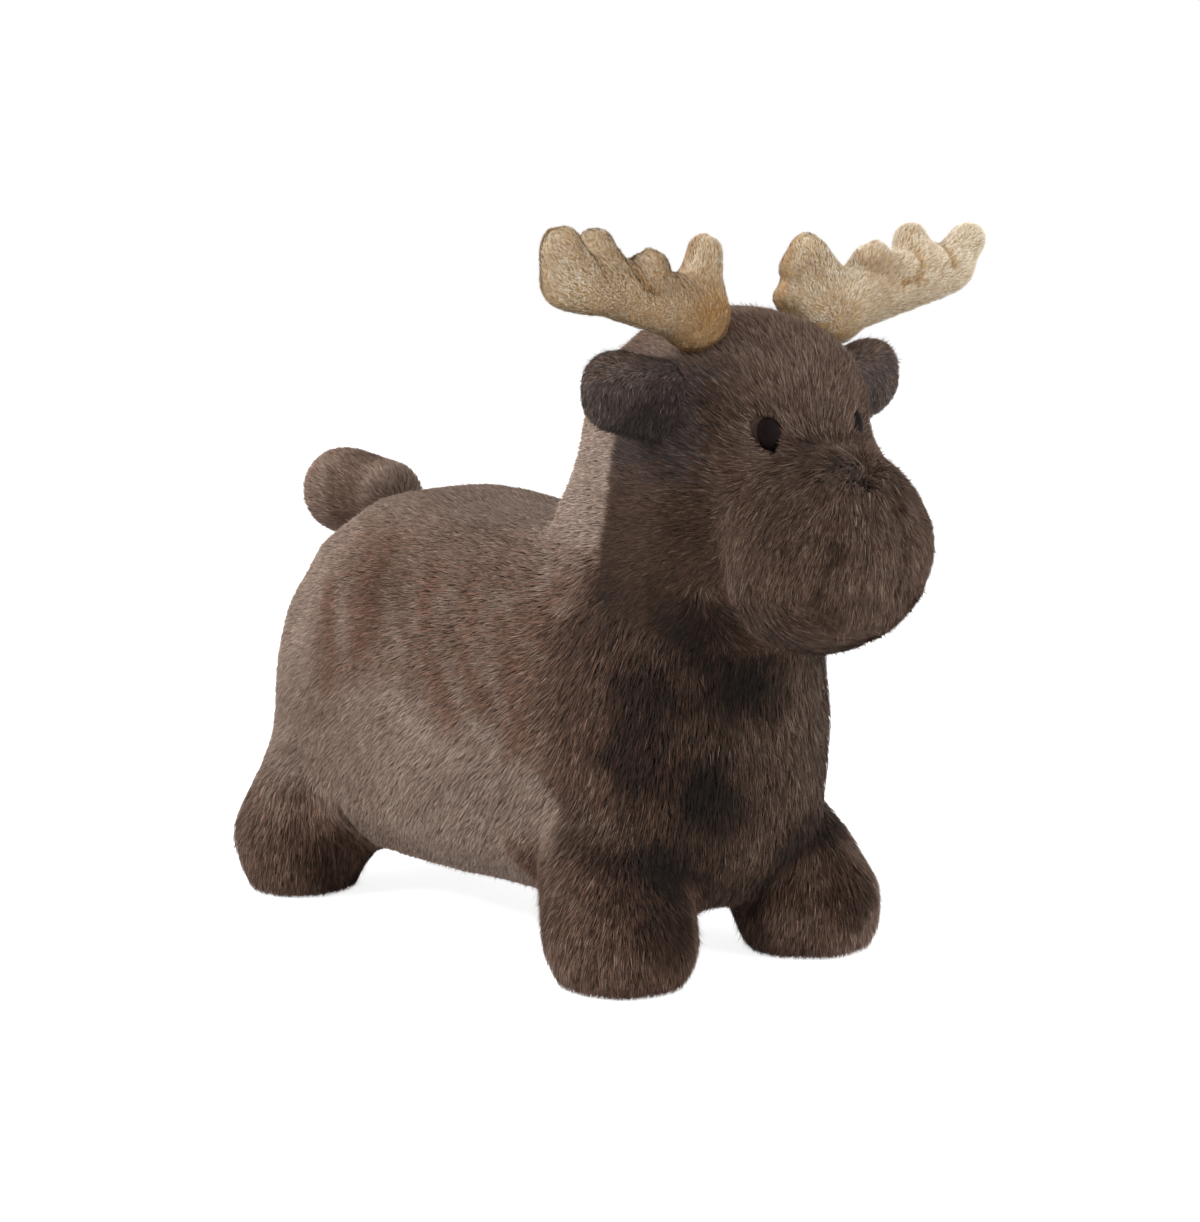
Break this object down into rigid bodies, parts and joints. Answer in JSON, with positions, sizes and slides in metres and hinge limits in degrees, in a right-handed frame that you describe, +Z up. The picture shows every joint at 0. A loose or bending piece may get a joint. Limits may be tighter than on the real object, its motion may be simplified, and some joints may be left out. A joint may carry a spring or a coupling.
{
  "type": "bouncy ride-on animal",
  "caption": "Inflatable hopper in a sewn fur cover, shaped like a young antlered deer, with stuffed antlers, ears and tail that flex, and a zipped belly over the air valve.",
  "frame": {"origin": "on the floor, at the middle of the object's length and width", "axes": "the animal faces -Y, its right side is towards -X, and +Z is up"},
  "size_m": [0.331, 0.5628, 0.4415],
  "materials": {
    "fur_back": "long pile fur, mid brown",
    "fur_dark": "long pile fur, dark brown",
    "sole_fur": "short pile fur",
    "velboa": "short pile plush, tan",
    "stuffing": "loose polyester fibre",
    "bladder_vinyl": "soft vinyl",
    "plug_vinyl": "soft vinyl",
    "eye_plastic": "satin, very dark brown",
    "washer_plastic": "plain",
    "zip_tape_fabric": "woven tape",
    "zip_teeth_plastic": "moulded",
    "zip_metal": "satin nickel"
  },
  "bodies": {
    "body": {"body_cover_left": "fur_back", "body_cover_right": "fur_back", "belly_panel": "fur_dark", "head_gusset": "fur_dark", "head_side_left": "fur_dark", "head_side_right": "fur_dark", "muzzle_gusset": "fur_dark", "muzzle_side_left": "fur_dark", "muzzle_side_right": "fur_dark", "leg_front_left": "fur_dark", "leg_front_right": "fur_dark", "leg_rear_left": "fur_dark", "leg_rear_right": "fur_dark", "sole_front_left": "sole_fur", "sole_front_right": "sole_fur", "sole_rear_left": "sole_fur", "sole_rear_right": "sole_fur", "muzzle_filling": "stuffing", "bladder": "bladder_vinyl", "eye_left": "eye_plastic", "eye_right": "eye_plastic", "eye_washer_left": "washer_plastic", "eye_washer_right": "washer_plastic", "zip_tape_left": "zip_tape_fabric", "zip_tape_right": "zip_tape_fabric", "zip_teeth_left": "zip_teeth_plastic", "zip_teeth_right": "zip_teeth_plastic", "zip_stop_front": "zip_metal", "zip_stop_rear": "zip_metal"},
    "antler_left": {"antler_front_left": "velboa", "antler_back_left": "velboa", "antler_filling_left": "stuffing"},
    "ear_left": {"ear_front_left": "fur_dark", "ear_back_left": "fur_dark", "ear_filling_left": "stuffing"},
    "antler_right": {"antler_front_right": "velboa", "antler_back_right": "velboa", "antler_filling_right": "stuffing"},
    "ear_right": {"ear_front_right": "fur_dark", "ear_back_right": "fur_dark", "ear_filling_right": "stuffing"},
    "tail": {"tail_cover_left": "fur_back", "tail_cover_right": "fur_back", "tail_filling": "stuffing"},
    "zip_slider": {"zip_slider": "zip_metal"},
    "zip_pull": {"zip_pull": "zip_metal"},
    "valve_plug": {"valve_plug": "plug_vinyl"}
  },
  "joints": [
    {"name": "antler_left_flex", "type": "hinge", "parent": "body", "child": "antler_left", "pos_m": [0.0526, -0.1769, 0.3915], "axis": [1, 0, 0], "range_deg": [-15, 15], "stiffness_Nm_per_rad": 1},
    {"name": "antler_right_flex", "type": "hinge", "parent": "body", "child": "antler_right", "pos_m": [-0.0526, -0.1769, 0.3915], "axis": [1, 0, 0], "range_deg": [-15, 15], "stiffness_Nm_per_rad": 1},
    {"name": "ear_left_flap", "type": "hinge", "parent": "body", "child": "ear_left", "pos_m": [0.0808, -0.1614, 0.3509], "axis": [0, 0, 1], "range_deg": [-30, 30], "stiffness_Nm_per_rad": 0.4},
    {"name": "ear_right_flap", "type": "hinge", "parent": "body", "child": "ear_right", "pos_m": [-0.0808, -0.1614, 0.3509], "axis": [0, 0, -1], "range_deg": [-30, 30], "stiffness_Nm_per_rad": 0.4},
    {"name": "tail_wag", "type": "hinge", "parent": "body", "child": "tail", "pos_m": [0, 0.2041, 0.2536], "axis": [0, 0, 1], "range_deg": [-12, 12], "stiffness_Nm_per_rad": 0.5},
    {"name": "zip_slide", "type": "slide", "parent": "body", "child": "zip_slider", "axis": [0, 1, 0], "range_m": [0, 0.078]},
    {"name": "zip_pull_swing", "type": "hinge", "parent": "zip_slider", "child": "zip_pull", "pos_m": [0, -0.0271, 0.0331], "axis": [1, 0, 0], "range_deg": [-75, 75]},
    {"name": "valve_plug_pull", "type": "slide", "parent": "body", "child": "valve_plug", "axis": [0, 0, -1], "range_m": [0, 0.018]}
  ]
}
